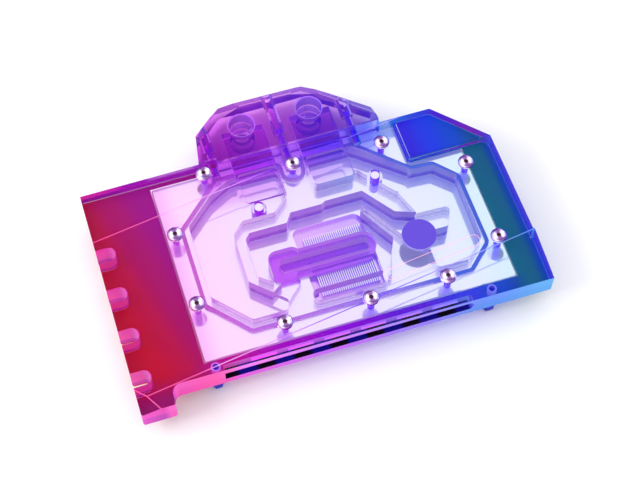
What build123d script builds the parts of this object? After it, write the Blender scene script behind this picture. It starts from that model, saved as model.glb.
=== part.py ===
from build123d import *
from math import atan, degrees, hypot
import os

# Graphics card water block: a clear faceted cover over a nickel-plated cold plate with
# microfins, and a faceted terminal with G1/4 ports above and below at its back edge.
# Millimetres. +X to the right along the card, +Y to the terminal, +Z up through the cover.
# The origin is on the surface that the standoffs rest on, under the middle of the whole block.

os.makedirs("parts", exist_ok=True)

small_sides = 12              # sides of the small round pieces and of their holes

# Levels
standoff_height = 10.0        # from the resting surface to the cover
cover_thickness = 14.0
plate_thickness = 5.0
sheet_thickness = 1.0
terminal_height = 24.0
terminal_proud = 1.0          # terminal top above the cover top
face_gap = 0.05               # between faces that are screwed together over a seal

cover_bottom = standoff_height
cover_top = cover_bottom + cover_thickness
plate_top = cover_bottom - face_gap
plate_bottom = plate_top - plate_thickness
sheet_bottom = plate_top - sheet_thickness
terminal_top = cover_top + terminal_proud
terminal_bottom = terminal_top - terminal_height

# Cover outline
cover_left = -103.0
cover_right = 103.0
front_edge = -66.7
tab_front = -76.0
tab_right = -86.4
tab_inner_radius = 4.5
corner_radius = 1.2
back_edge_left = 45.6
back_edge_right = 41.5
terminal_seat = 43.2
seat_left = -32.5
seat_right = 52.2
chamfer_start = 78.8          # back right corner, along the back edge
chamfer_end = 17.0            # and down the right edge
jog_y = -39.0
jog_step = 0.7

# Facets on the cover: two points of each crease with the falling side on its left,
# and the fall for each mm beyond it
back_crease = ((-102.4, 17.3), (-9.0, 31.0))
back_fall = 0.06
tab_crease = ((-90.8, -75.9), (-102.7, -64.0))
tab_fall = 0.36
front_crease = ((101.5, -40.0), (-56.7, -62.6))
front_fall = 0.09

# Vent slots in the left edge
vent_count = 4
vent_first_y = -59.1
vent_pitch = 22.6
vent_width = 7.5
vent_depth = 9.3

# Clearance for tall components under the back right corner
step_height = 6.0

# Light strip and its slot in the front edge
slot_left = -60.6
slot_right = 62.2
slot_height = 6.0
slot_depth = 4.0
slot_level = 17.0
strip_gap = 0.2
strip_height = 5.0
strip_thickness = 0.4
led_count = 15
led_side = 4.0
led_thickness = 1.4

# Cold plate
plate_left = -67.9
plate_right = 88.4
plate_front = -56.3
plate_back = 42.8
plate_notch_left = 60.7
plate_notch_front = 19.6
plate_corner_radius = 1.5
plate_edge_break = 0.5

# Microfins and the recess round them
fin_pitch = 1.06
fin_thickness = 0.5
fin_height = 2.8
fin_left = -3.9
fin_right = 26.1
fin_front = -38.0
fin_back = -5.0
recess_left = -7.6
recess_right = 27.6
recess_front = -43.2
recess_back = 1.4
recess_radius = 4.0

# Contact faces under the cold plate, round the core
core_centre = (11.1, -21.5)
core_pad_size = (34.0, 36.0)
core_pad_drop = 1.2
memory_pad_size = (14.0, 12.0)
memory_pad_drop = 0.6
memory_offset = 33.0
memory_pitch = 17.0
memory_rows = 3
power_pad_size = (9.0, 56.0)
power_pad_drop = 0.8
power_pads_at = ((-50.0, -12.0), (74.0, -16.0))

# Backing sheet under the ends and the front of the cover
sheet_inset = 0.6
sheet_window_gap = 0.4

# Water channels in the underside of the cover
channel_height = 9.0
channel_radius = 2.0
rib_radius = 0.8
inlet_channel = (
    (-4.6, 34.0), (-4.6, 16.8), (-13.4, 8.8), (-30.0, 8.8), (-36.2, 2.6), (-36.6, -24.3),
    (-21.0, -39.2), (-23.0, -44.2), (-40.3, -44.2), (-56.2, -26.8), (-56.0, 13.6),
    (-41.0, 27.6), (-29.0, 34.0),
)
core_channel = (
    (-28.7, 1.2), (-9.6, 1.2), (-6.2, 6.2), (9.9, 6.2), (12.0, 7.4), (31.2, 7.4), (42.7, -8.6),
    (52.5, -12.3), (60.0, -14.0), (60.0, -29.0), (52.0, -30.5), (41.5, -21.5), (29.6, -1.6),
    (26.4, -3.2), (37.3, -22.4), (34.0, -29.0), (30.0, -41.3), (26.5, -41.3), (26.5, -24.0),
    (-24.0, -24.0), (-25.2, -28.2), (-31.4, -23.1), (-31.5, -1.8),
)
outlet_channel = (
    (58.0, 12.0), (69.8, 11.2), (78.8, 2.3), (78.0, -34.8), (67.2, -44.4), (52.0, -44.4),
    (52.0, -30.5), (56.0, -22.0), (52.5, -12.3), (47.7, 1.4),
)
return_channel = (
    (10.2, 34.0), (33.0, 34.0), (36.0, 31.8), (57.5, 13.4), (58.0, 8.0), (50.0, 2.0),
    (47.7, 1.4), (32.6, 20.0), (10.2, 20.0),
)
outlet_island = ((51.0, -12.9), (69.6, -13.6), (65.0, -24.2), (50.0, -24.0))
well_width = 20.6             # deeper wells where the passages come down
well_height = 11.5
well_front = 16.8
well_back = 34.0
fin_window = ((-5.6, -39.0), (28.0, -26.0))     # low roof over the front of the fins
fin_window_height = 3.5
manifold = ((-9.4, -44.2), (28.0, -37.8))       # collects what leaves the fins at the front
manifold_radius = 3.0

# Jet island over the middle of the fins, its feed and its slotted plate
jet_left = -23.4
jet_right = 28.4
jet_front = -27.7
jet_back = -14.3
jet_end_radius = 6.0
jet_wall = 3.3
jet_head = ((-24.4, -27.7), (-8.2, -12.2))      # the island's wider left end
jet_head_radius = 4.5
jet_feed = (
    (-29.0, -34.0), (-22.5, -40.5), (-12.5, -31.0), (-12.5, -19.4), (-20.4, -19.4), (-21.5, -28.5),
)
jet_feed_height = 5.5
jet_plate_thickness = 2.0
jet_plate_gap = 0.1
jet_slot_length = 32.0
jet_slot_width = 3.0

# Main seal: its middle line runs inside the outer screws and dips round the back one
seal_width = 1.8
seal_height = 1.5
seal_gap = 0.1
seal_line = (
    (-35.5, 37.8), (-59.3, 15.2), (-59.5, -28.2), (-41.8, -47.7), (68.5, -47.7),
    (81.0, -36.0), (81.0, 3.8), (71.0, 14.8), (60.0, 15.2), (36.6, 37.8),
)
seal_radius = 3.0
seal_dip_radius = 5.4

# Cover screws and their cup washers
left_screws = ((-63.65, 9.9), (-63.65, -29.6))
right_screws = ((85.1, 6.0), (85.1, -38.1))
front_screws = ((-26.85, -51.4), (15.7, -51.4), (54.3, -51.4))
back_screws = ((-40.95, 39.4), (49.15, 29.9))
dip_screw = (2.95, 31.6)
cover_screws_at = left_screws + right_screws + front_screws + back_screws + (dip_screw,)
screw_radius = 1.5
screw_clearance = 0.2
screw_thread_depth = 3.6      # into the cold plate
screw_head_radius = 2.9
screw_head_height = 1.5
socket_width = 2.0
socket_depth = 1.2
washer_radius = 3.9
washer_rim_radius = 3.2
washer_height = 2.0
washer_sunk = 1.4             # seat below the cover top
washer_gap = 0.1

# Locating pins in the cold plate
pins_at = ((-20.2, 13.2), (40.1, 13.4))
pin_radius = 2.2
pin_gap = 0.1
pin_roof = 3.0
pin_seat_depth = 3.0
pin_boss_wall = 1.6

# Standoffs: tall ones under the front edge, low ones under the cold plate, all hexagonal
front_standoffs_at = ((-63.9, -62.0), (72.7, -62.0))
front_standoff_width = 6.0
front_standoff_taper = 2.5
front_standoff_foot = 4.4
insert_radius = 2.3
insert_height = 8.0
stud_length = 7.0
stud_radius = 1.5
stud_gap = 0.05
core_spacing = 58.4
low_standoff_width = 5.0
low_standoff_bore = 1.25
low_standoff_bore_depth = 4.0
rear_standoffs_at = ((-61.0, 36.5), (55.0, 36.5))

# Terminal outline and its facets, above and below
terminal_left = -41.8
terminal_outline = (
    (-38.8, 62.5), (-23.3, 76.0), (21.3, 76.0), (33.3, 67.0), (51.2, 52.5),
)
terminal_creases = (
    (-35.4, 60.0), (-29.6, 65.3), (-12.6, 71.7), (13.6, 71.0), (27.8, 67.0), (49.8, 48.0),
)
terminal_falls = (0.55, 0.42, 0.5, 0.42, 0.55)

# Ports and passages
ports_x = (-15.2, 20.5)
port_y = 60.4
port_radius = 6.58            # G1/4
port_chamfer = 0.5
port_top_depth = 7.0
port_drill_radius = 5.9       # below the thread
port_bottom_depth = 8.0
neck_radius = 4.5
passage_width = 21.5
passage_low = 13.5
passage_inner_end = 30.0
passage_back = 60.4
port_seal_margin = 1.2
port_seal_width = 1.5
port_seal_depth = 1.2

# Terminal screws, from the back edge into inserts in the cover
terminal_screws_at = (-34.8, 2.7, 38.6)
terminal_screw_radius = 1.5
terminal_screw_length = 14.0
terminal_screw_seat = 52.0
terminal_head_radius = 2.75
terminal_head_height = 3.0
terminal_head_gap = 0.4
terminal_insert_radius = 2.1
terminal_insert_length = 8.0
terminal_front = terminal_seat + face_gap
step_front = back_edge_left + face_gap

# Badge disc, plain
badge_at = (48.75, -26.3)
badge_radius = 8.5
badge_thickness = 1.2
badge_sunk = 0.7
badge_gap = 0.1


def rounded_face(points, radius, mode=Mode.ADD):
    """A closed polygon with rounded corners, as a filled face in the active sketch."""
    with BuildLine() as outline:
        FilletPolyline(*points, radius=radius, close=True)
    return make_face(outline.edges(), mode=mode)


def facet(crease, fall, level, up=1):
    """The plane of a facet, which holds the crease and falls away to the crease's left."""
    (x0, y0), (x1, y1) = crease
    run = hypot(x1 - x0, y1 - y0)
    tilt = (-(y1 - y0) / run * fall, (x1 - x0) / run * fall, up)
    return Plane(origin=(x0, y0, level), z_dir=tilt)


def box_between(corners, radius=0.0, grow=0.0, mode=Mode.ADD):
    """A rectangle from corner to corner, with rounded corners where a radius is given."""
    (x0, y0), (x1, y1) = corners
    with Locations(((x0 + x1) / 2, (y0 + y1) / 2)):
        if radius:
            RectangleRounded(x1 - x0 + 2 * grow, y1 - y0 + 2 * grow, radius + grow, mode=mode)
        else:
            Rectangle(x1 - x0 + 2 * grow, y1 - y0 + 2 * grow, mode=mode)


def island_outline(grow=0.0, mode=Mode.ADD):
    """The outline of the jet island with its wider left end."""
    box_between(((jet_left, jet_front), (jet_right, jet_back)), jet_end_radius, grow, mode)
    box_between(jet_head, jet_head_radius, grow, mode)


def small_round(radius, mode=Mode.ADD):
    """The round outline of a small screw, insert or hole, with few sides."""
    return RegularPolygon(radius, small_sides, mode=mode)


def mouth_ring(margin, width):
    """A flat ring round the mouth of a passage, in the active sketch."""
    for grown, mode in ((margin + width, Mode.ADD), (margin, Mode.SUBTRACT)):
        with BuildSketch(mode=Mode.PRIVATE) as mouth:
            Rectangle(passage_width + 2 * grown, passage_height + 2 * grown)
            chamfer(mouth.vertices(), grown)
        add(mouth.sketch, mode=mode)


# Values that several pieces share
passage_high = cover_bottom + channel_height
passage_level = (passage_low + passage_high) / 2
passage_height = passage_high - passage_low
vents_at = [(cover_left, vent_first_y + i * vent_pitch) for i in range(vent_count)]
core_standoffs_at = [
    (core_centre[0] + sx * core_spacing / 2, core_centre[1] + sy * core_spacing / 2)
    for sx in (-1, 1) for sy in (-1, 1)
]
jet_middle = ((jet_left + jet_right) / 2, (jet_front + jet_back) / 2)
jet_bore = ((jet_left + jet_wall, jet_front + jet_wall), (jet_right - jet_wall, jet_back - jet_wall))
washer_seat = cover_top - washer_sunk + face_gap
slot_floor = slot_level - slot_height / 2
slot_back = front_edge + slot_depth
strip_left = slot_left + strip_gap
strip_right = slot_right - slot_height / 2
insert_faces = [back_edge_left if x < seat_left else terminal_seat for x in terminal_screws_at]

# The area inside the main seal's middle line
with BuildSketch() as seal_area:
    rounded_face(seal_line, seal_radius)
    with Locations(dip_screw):
        Rectangle(2 * seal_dip_radius, 20, align=(Align.CENTER, Align.MIN), mode=Mode.SUBTRACT)
        Circle(seal_dip_radius, mode=Mode.SUBTRACT)
    dip_corners = seal_area.vertices().filter_by_position(
        Axis.X, dip_screw[0] - seal_dip_radius - 0.1, dip_screw[0] + seal_dip_radius + 0.1)
    fillet(dip_corners.group_by(Axis.Y)[-1], seal_radius)

# Cover
with BuildPart() as cover:
    with BuildSketch(Plane.XY.offset(cover_bottom)) as cover_outline:
        with BuildLine():
            Polyline(
                (cover_left, tab_front), (tab_right, tab_front), (tab_right, front_edge),
                (cover_right - jog_step, front_edge), (cover_right, jog_y - jog_step),
                (cover_right - jog_step, jog_y), (cover_right - jog_step, chamfer_end),
                (chamfer_start, back_edge_right), (seat_right, back_edge_right),
                (seat_right, terminal_seat), (seat_left, terminal_seat),
                (seat_left, back_edge_left), (cover_left, back_edge_left), close=True,
            )
        make_face()
        tab_edge = cover_outline.vertices().filter_by_position(Axis.X, tab_right, tab_right)
        fillet(tab_edge.sort_by(Axis.Y)[-1], tab_inner_radius)
        fillet(cover_outline.vertices().group_by(Axis.Y)[0], corner_radius)
    extrude(amount=cover_thickness)
    split(bisect_by=facet(back_crease, back_fall, cover_top), keep=Keep.BOTTOM)
    split(bisect_by=facet(tab_crease, tab_fall, cover_top), keep=Keep.BOTTOM)
    split(bisect_by=facet(front_crease, front_fall, cover_top), keep=Keep.BOTTOM)

    # Vent slots and the slot for the light strip
    with BuildSketch(Plane.XY.offset(cover_bottom)):
        with Locations(*vents_at):
            SlotOverall(2 * vent_depth, vent_width)
    extrude(amount=cover_thickness, mode=Mode.SUBTRACT)
    with BuildSketch(Plane.XZ.offset(-front_edge)):
        with Locations(((slot_left + slot_right) / 2, slot_level)):
            SlotOverall(slot_right - slot_left, slot_height)
        with Locations((slot_left, slot_level)):
            Rectangle(slot_height, slot_height, align=(Align.MIN, Align.CENTER))
    extrude(amount=-slot_depth, mode=Mode.SUBTRACT)

    # Step under the back right corner
    with BuildSketch(Plane.XY.offset(cover_bottom)):
        with Locations((plate_notch_left, plate_notch_front)):
            Rectangle(cover_right, cover_right, align=(Align.MIN, Align.MIN))
    extrude(amount=step_height, mode=Mode.SUBTRACT)

    # Water channels, with the bosses of the pins left standing in them
    with BuildSketch(Plane.XY.offset(cover_bottom)):
        rounded_face(inlet_channel, channel_radius)
        rounded_face(core_channel, rib_radius)
        rounded_face(outlet_channel, channel_radius)
        rounded_face(return_channel, channel_radius)
        rounded_face(outlet_island, channel_radius, mode=Mode.SUBTRACT)
        box_between(manifold, manifold_radius)
        island_outline(mode=Mode.SUBTRACT)
        with Locations(*pins_at):
            Circle(pin_radius + pin_boss_wall, mode=Mode.SUBTRACT)
    extrude(amount=channel_height, mode=Mode.SUBTRACT)
    with BuildSketch(Plane.XY.offset(cover_bottom)):
        for x in ports_x:
            box_between(((x - well_width / 2, well_front), (x + well_width / 2, well_back)), channel_radius)
    extrude(amount=well_height, mode=Mode.SUBTRACT)
    with BuildSketch(Plane.XY.offset(cover_bottom)):
        box_between(fin_window)
    extrude(amount=fin_window_height, mode=Mode.SUBTRACT)
    with BuildSketch(Plane.XY.offset(cover_bottom)):
        box_between(jet_bore, channel_radius)
    extrude(amount=channel_height, mode=Mode.SUBTRACT)
    with BuildSketch(Plane.XY.offset(cover_bottom)):
        rounded_face(jet_feed, rib_radius)
    extrude(amount=jet_feed_height, mode=Mode.SUBTRACT)
    with BuildSketch(Plane.XY.offset(cover_bottom)):
        island_outline(jet_plate_gap)
    extrude(amount=jet_plate_thickness + face_gap, mode=Mode.SUBTRACT)

    # Passages from the seat of the terminal
    with BuildSketch(Plane.XZ.offset(-terminal_seat)):
        with Locations(*[(x, passage_level) for x in ports_x]):
            Rectangle(passage_width, passage_height)
    extrude(amount=terminal_seat - passage_inner_end, mode=Mode.SUBTRACT)

    # Groove of the main seal
    with BuildSketch(Plane.XY.offset(cover_bottom)):
        offset(seal_area.sketch, amount=seal_width / 2 + seal_gap, mode=Mode.ADD)
        offset(seal_area.sketch, amount=-seal_width / 2 - seal_gap, mode=Mode.SUBTRACT)
    extrude(amount=seal_height + seal_gap, mode=Mode.SUBTRACT)

    # Screw holes with flat seats for the washers, pin holes, and the seat of the badge
    with BuildSketch(Plane.XY.offset(cover_bottom)):
        with Locations(*cover_screws_at):
            small_round(screw_radius + screw_clearance)
    extrude(amount=cover_thickness, mode=Mode.SUBTRACT)
    with BuildSketch(Plane.XY.offset(cover_top - washer_sunk)):
        with Locations(*cover_screws_at):
            small_round(washer_radius + washer_gap)
    extrude(amount=washer_sunk, mode=Mode.SUBTRACT)
    with BuildSketch(Plane.XY.offset(cover_bottom)):
        with Locations(*pins_at):
            Circle(pin_radius + pin_gap)
    extrude(amount=cover_thickness - pin_roof + pin_gap, mode=Mode.SUBTRACT)
    with BuildSketch(Plane.XY.offset(cover_top - badge_sunk)):
        with Locations(badge_at):
            Circle(badge_radius + badge_gap)
    extrude(amount=badge_sunk, mode=Mode.SUBTRACT)

    # Blind holes of the front inserts
    with BuildSketch(Plane.XY.offset(cover_bottom)):
        with Locations(*front_standoffs_at):
            small_round(insert_radius + face_gap)
    extrude(amount=insert_height + face_gap, mode=Mode.SUBTRACT)

    # Holes of the terminal's inserts
    for x, face_y in zip(terminal_screws_at, insert_faces):
        with BuildSketch(Plane.XZ.offset(-face_y)):
            with Locations((x, passage_level)):
                small_round(terminal_insert_radius + face_gap)
        extrude(amount=terminal_insert_length + face_gap, mode=Mode.SUBTRACT)

# Cold plate
with BuildPart() as cold_plate:
    with BuildSketch(Plane.XY.offset(plate_bottom)) as plate_outline:
        with BuildLine():
            Polyline(
                (plate_left, plate_front), (plate_right, plate_front),
                (plate_right, plate_notch_front), (plate_notch_left, plate_notch_front),
                (plate_notch_left, plate_back), (plate_left, plate_back), close=True,
            )
        make_face()
        fillet(plate_outline.vertices(), plate_corner_radius)
    extrude(amount=plate_thickness)
    chamfer(cold_plate.edges().group_by(Axis.Z)[-1], plate_edge_break)

    # Contact faces
    with BuildSketch(Plane.XY.offset(plate_bottom)):
        with Locations(core_centre):
            Rectangle(*core_pad_size)
    extrude(amount=-core_pad_drop)
    with BuildSketch(Plane.XY.offset(plate_bottom)):
        with Locations(core_centre):
            with GridLocations(2 * memory_offset, memory_pitch, 2, memory_rows):
                Rectangle(*memory_pad_size)
    extrude(amount=-memory_pad_drop)
    with BuildSketch(Plane.XY.offset(plate_bottom)):
        with Locations(*power_pads_at):
            Rectangle(*power_pad_size)
    extrude(amount=-power_pad_drop)

    # Recess, then the fins standing in it
    with BuildSketch(Plane.XY.offset(plate_top)):
        with Locations(((recess_left + recess_right) / 2, (recess_front + recess_back) / 2)):
            RectangleRounded(recess_right - recess_left, recess_back - recess_front, recess_radius)
    extrude(amount=-fin_height, mode=Mode.SUBTRACT)
    with BuildSketch(Plane.XY.offset(plate_top - fin_height)):
        fin_count = int((fin_right - fin_left) / fin_pitch)
        with Locations(((fin_left + fin_right) / 2, (fin_front + fin_back) / 2)):
            with GridLocations(fin_pitch, 1, fin_count, 1):
                Rectangle(fin_thickness, fin_back - fin_front)
    extrude(amount=fin_height)

    # Tapped holes for the cover screws, and the holes of the pins
    with BuildSketch(Plane.XY.offset(plate_top)):
        with Locations(*cover_screws_at):
            small_round(screw_radius + stud_gap)
    extrude(amount=-screw_thread_depth, mode=Mode.SUBTRACT)
    with BuildSketch(Plane.XY.offset(plate_top)):
        with Locations(*pins_at):
            Circle(pin_radius)
    extrude(amount=-pin_seat_depth, mode=Mode.SUBTRACT)

# Jet plate, flush between the fins and the island
with BuildPart() as jet_plate:
    with BuildSketch(Plane.XY.offset(cover_bottom)):
        island_outline()
        with Locations(((fin_left + fin_right) / 2 - 1, jet_middle[1])):
            SlotOverall(jet_slot_length, jet_slot_width, mode=Mode.SUBTRACT)
    extrude(amount=jet_plate_thickness)

# Main seal
with BuildPart() as main_seal:
    with BuildSketch(Plane.XY.offset(cover_bottom)):
        offset(seal_area.sketch, amount=seal_width / 2, mode=Mode.ADD)
        offset(seal_area.sketch, amount=-seal_width / 2, mode=Mode.SUBTRACT)
    extrude(amount=seal_height)

# Terminal
with BuildPart() as terminal:
    with BuildSketch(Plane.XY.offset(terminal_bottom)):
        with BuildLine():
            Polyline(
                (seat_left + face_gap, terminal_front), (seat_left + face_gap, step_front),
                (terminal_left, step_front), *terminal_outline,
                (seat_right, terminal_front), close=True,
            )
        make_face()
    extrude(amount=terminal_height)
    for start, end, fall in zip(terminal_creases, terminal_creases[1:], terminal_falls):
        split(bisect_by=facet((start, end), fall, terminal_top), keep=Keep.BOTTOM)
        split(bisect_by=facet((start, end), fall, terminal_bottom, up=-1), keep=Keep.BOTTOM)

    # Chambers, ports above and below, and the neck between them
    with BuildSketch(Plane.XZ.offset(-terminal_front)):
        with Locations(*[(x, passage_level) for x in ports_x]):
            Rectangle(passage_width, passage_height)
    extrude(amount=terminal_front - passage_back, mode=Mode.SUBTRACT)
    with BuildSketch(Plane.XY.offset(terminal_top)):
        with Locations(*[(x, port_y) for x in ports_x]):
            Circle(port_radius)
    extrude(amount=-port_top_depth, mode=Mode.SUBTRACT)
    with BuildSketch(Plane.XY.offset(passage_low)):
        with Locations(*[(x, port_y) for x in ports_x]):
            Circle(port_drill_radius)
    extrude(amount=passage_height, mode=Mode.SUBTRACT)
    with BuildSketch(Plane.XY.offset(terminal_bottom)):
        with Locations(*[(x, port_y) for x in ports_x]):
            Circle(port_radius)
    extrude(amount=port_bottom_depth, mode=Mode.SUBTRACT)
    with BuildSketch(Plane.XY.offset(terminal_bottom)):
        with Locations(*[(x, port_y) for x in ports_x]):
            Circle(neck_radius)
    extrude(amount=passage_high - terminal_bottom, mode=Mode.SUBTRACT)
    chamfer(terminal.edges().filter_by(GeomType.CIRCLE).group_by(Axis.Z)[-1], port_chamfer)

    # Grooves of the two seals
    with BuildSketch(Plane.XZ.offset(-terminal_front)):
        with Locations(*[(x, passage_level) for x in ports_x]):
            mouth_ring(port_seal_margin - face_gap, port_seal_width + 2 * face_gap)
    extrude(amount=-port_seal_depth, mode=Mode.SUBTRACT)

    # Screw holes, and the bores that reach their heads from the back edge
    with BuildSketch(Plane.XZ.offset(-terminal_front)):
        with Locations(*[(x, passage_level) for x in terminal_screws_at]):
            small_round(terminal_screw_radius + screw_clearance)
    extrude(amount=terminal_front - terminal_screw_seat, mode=Mode.SUBTRACT)
    with BuildSketch(Plane.XZ.offset(-terminal_screw_seat)):
        with Locations(*[(x, passage_level) for x in terminal_screws_at]):
            small_round(terminal_head_radius + terminal_head_gap)
    extrude(amount=-terminal_height - terminal_height, mode=Mode.SUBTRACT)

# Seals round the mouths of the passages
port_seals = []
for x in ports_x:
    with BuildPart() as port_seal:
        with BuildSketch(Plane.XZ.offset(-terminal_front)):
            with Locations((x, passage_level)):
                mouth_ring(port_seal_margin, port_seal_width)
        extrude(amount=face_gap - port_seal_depth)
    port_seals.append(port_seal)

# Terminal screws, socket heads to the back
with BuildPart() as terminal_screws:
    with BuildSketch(Plane.XZ.offset(-terminal_screw_seat - face_gap)):
        with Locations(*[(x, passage_level) for x in terminal_screws_at]):
            small_round(terminal_screw_radius)
    extrude(amount=terminal_screw_length)
    with BuildSketch(Plane.XZ.offset(-terminal_screw_seat - face_gap)):
        with Locations(*[(x, passage_level) for x in terminal_screws_at]):
            small_round(terminal_head_radius)
    extrude(amount=face_gap - terminal_head_height)
    with BuildSketch(Plane.XZ.offset(-terminal_screw_seat - terminal_head_height)):
        with Locations(*[(x, passage_level) for x in terminal_screws_at]):
            RegularPolygon(socket_width / 2, 6, major_radius=False)
    extrude(amount=socket_depth, mode=Mode.SUBTRACT)

# Their inserts in the back edge of the cover
with BuildPart() as terminal_inserts:
    for x, face_y in zip(terminal_screws_at, insert_faces):
        with BuildSketch(Plane.XZ.offset(-face_y)):
            with Locations((x, passage_level)):
                small_round(terminal_insert_radius)
                small_round(terminal_screw_radius + stud_gap, mode=Mode.SUBTRACT)
        extrude(amount=terminal_insert_length)

# Cover screws: countersunk, flush with their washers
head_top = washer_seat + washer_height
head_flare = degrees(atan((screw_head_radius - screw_radius) / screw_head_height))
with BuildPart() as cover_screws:
    with BuildSketch(Plane.XY.offset(head_top)):
        with Locations(*cover_screws_at):
            small_round(screw_radius)
    extrude(amount=plate_top - screw_thread_depth - head_top)
    with BuildSketch(Plane.XY.offset(head_top)):
        with Locations(*cover_screws_at):
            small_round(screw_head_radius)
    extrude(amount=-screw_head_height, taper=head_flare)
    with BuildSketch(Plane.XY.offset(head_top)):
        with Locations(*cover_screws_at):
            RegularPolygon(socket_width / 2, 6, major_radius=False)
    extrude(amount=-socket_depth, mode=Mode.SUBTRACT)

# Cup washers: a low cone, open for the screw's head
rim_slope = degrees(atan((washer_radius - washer_rim_radius) / washer_height))
with BuildPart() as cup_washers:
    with BuildSketch(Plane.XY.offset(washer_seat)):
        with Locations(*cover_screws_at):
            small_round(washer_radius)
    extrude(amount=washer_height, taper=rim_slope)
    with BuildSketch(Plane.XY.offset(head_top)):
        with Locations(*cover_screws_at):
            small_round(screw_head_radius + washer_gap)
    extrude(amount=-washer_height, taper=head_flare, mode=Mode.SUBTRACT)
    with BuildSketch(Plane.XY.offset(washer_seat)):
        with Locations(*cover_screws_at):
            small_round(screw_radius + screw_clearance)
    extrude(amount=washer_height, mode=Mode.SUBTRACT)

# Locating pins
with BuildPart() as locating_pins:
    with BuildSketch(Plane.XY.offset(plate_top - pin_seat_depth)):
        with Locations(*pins_at):
            Circle(pin_radius)
    extrude(amount=pin_seat_depth + cover_thickness - pin_roof)

# Front standoffs: hexagonal, tapered to the foot, with a stud into the cover
with BuildPart() as front_standoffs:
    for x, y in front_standoffs_at:
        with BuildSketch(Plane.XY):
            with Locations((x, y)):
                RegularPolygon(front_standoff_foot / 2, 6, major_radius=False)
        with BuildSketch(Plane.XY.offset(front_standoff_taper)):
            with Locations((x, y)):
                RegularPolygon(front_standoff_width / 2, 6, major_radius=False)
        loft()
    with BuildSketch(Plane.XY.offset(front_standoff_taper)):
        with Locations(*front_standoffs_at):
            RegularPolygon(front_standoff_width / 2, 6, major_radius=False)
    extrude(amount=sheet_bottom - front_standoff_taper)
    with BuildSketch(Plane.XY.offset(sheet_bottom)):
        with Locations(*front_standoffs_at):
            small_round(stud_radius)
    extrude(amount=stud_length)

# Their inserts
with BuildPart() as front_inserts:
    with BuildSketch(Plane.XY.offset(cover_bottom)):
        with Locations(*front_standoffs_at):
            small_round(insert_radius)
            small_round(stud_radius + stud_gap, mode=Mode.SUBTRACT)
    extrude(amount=insert_height)

# Low standoffs under the cold plate
with BuildPart() as core_standoffs:
    with BuildSketch(Plane.XY):
        with Locations(*core_standoffs_at):
            RegularPolygon(low_standoff_width / 2, 6, major_radius=False)
    extrude(amount=plate_bottom)
    with BuildSketch(Plane.XY):
        with Locations(*core_standoffs_at):
            Circle(low_standoff_bore)
    extrude(amount=low_standoff_bore_depth, mode=Mode.SUBTRACT)

with BuildPart() as rear_standoffs:
    with BuildSketch(Plane.XY):
        with Locations(*rear_standoffs_at):
            RegularPolygon(low_standoff_width / 2, 6, major_radius=False)
    extrude(amount=plate_bottom)
    with BuildSketch(Plane.XY):
        with Locations(*rear_standoffs_at):
            Circle(low_standoff_bore)
    extrude(amount=low_standoff_bore_depth, mode=Mode.SUBTRACT)

# Light strip: a thin board with its lights against the inner wall of the slot
lights_back = slot_back - strip_gap
board_back = lights_back - led_thickness
with BuildPart() as led_strip:
    with BuildSketch(Plane.XZ.offset(-board_back)):
        with Locations((strip_left, slot_floor + strip_gap)):
            Rectangle(strip_right - strip_left, strip_height, align=(Align.MIN, Align.MIN))
    extrude(amount=strip_thickness)

with BuildPart() as led_chips:
    with BuildSketch(Plane.XZ.offset(-board_back)):
        with Locations(((strip_left + strip_right) / 2, slot_floor + strip_gap + strip_height / 2)):
            with GridLocations((strip_right - strip_left) / led_count, 1, led_count, 1):
                Rectangle(led_side, led_side)
    extrude(amount=-led_thickness)

# Badge disc
with BuildPart() as badge_disc:
    with BuildSketch(Plane.XY.offset(cover_top - badge_sunk + face_gap)):
        with Locations(badge_at):
            Circle(badge_radius)
    extrude(amount=badge_thickness)
    chamfer(badge_disc.edges().group_by(Axis.Z)[-1], badge_gap)

# Backing sheet: the cover's outline drawn in, with a window for the cold plate
with BuildPart() as backing_sheet:
    with BuildSketch(Plane.XY.offset(sheet_bottom)) as sheet_outline:
        offset(cover_outline.sketch_local, amount=-sheet_inset, mode=Mode.ADD)
        with Locations(*vents_at):
            SlotOverall(2 * vent_depth, vent_width, mode=Mode.SUBTRACT)
        with Locations((plate_left - sheet_window_gap, plate_front - sheet_window_gap)):
            Rectangle(
                plate_right - plate_left + 2 * sheet_window_gap, 2 * cover_right,
                align=(Align.MIN, Align.MIN), mode=Mode.SUBTRACT,
            )
        with Locations((plate_notch_left, plate_notch_front)):
            Rectangle(
                cover_right, cover_right, align=(Align.MIN, Align.MIN), mode=Mode.SUBTRACT,
            )
        with Locations(*front_standoffs_at):
            small_round(stud_radius + screw_clearance, mode=Mode.SUBTRACT)
    extrude(amount=sheet_thickness)
    with BuildSketch(Plane.XY.offset(plate_top + step_height)):
        offset(cover_outline.sketch_local, amount=-sheet_inset, mode=Mode.ADD)
        with Locations((plate_notch_left + sheet_inset, plate_notch_front + sheet_inset)):
            Rectangle(
                cover_right, cover_right, align=(Align.MIN, Align.MIN), mode=Mode.INTERSECT,
            )
    extrude(amount=-sheet_thickness)

pieces = {
    "cover": cover,
    "cold_plate": cold_plate,
    "jet_plate": jet_plate,
    "main_seal": main_seal,
    "terminal": terminal,
    "terminal_seal_left": port_seals[0],
    "terminal_seal_right": port_seals[1],
    "terminal_screws": terminal_screws,
    "terminal_inserts": terminal_inserts,
    "cover_screws": cover_screws,
    "cup_washers": cup_washers,
    "locating_pins": locating_pins,
    "front_standoffs": front_standoffs,
    "front_inserts": front_inserts,
    "core_standoffs": core_standoffs,
    "rear_standoffs": rear_standoffs,
    "led_strip": led_strip,
    "led_chips": led_chips,
    "badge_disc": badge_disc,
    "backing_sheet": backing_sheet,
}
for name, piece in pieces.items():
    piece.part.label = name
    export_step(piece.part, f"parts/{name}.step")
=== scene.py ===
import math

import bmesh
import bpy
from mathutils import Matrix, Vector
from mathutils.bvhtree import BVHTree


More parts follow.
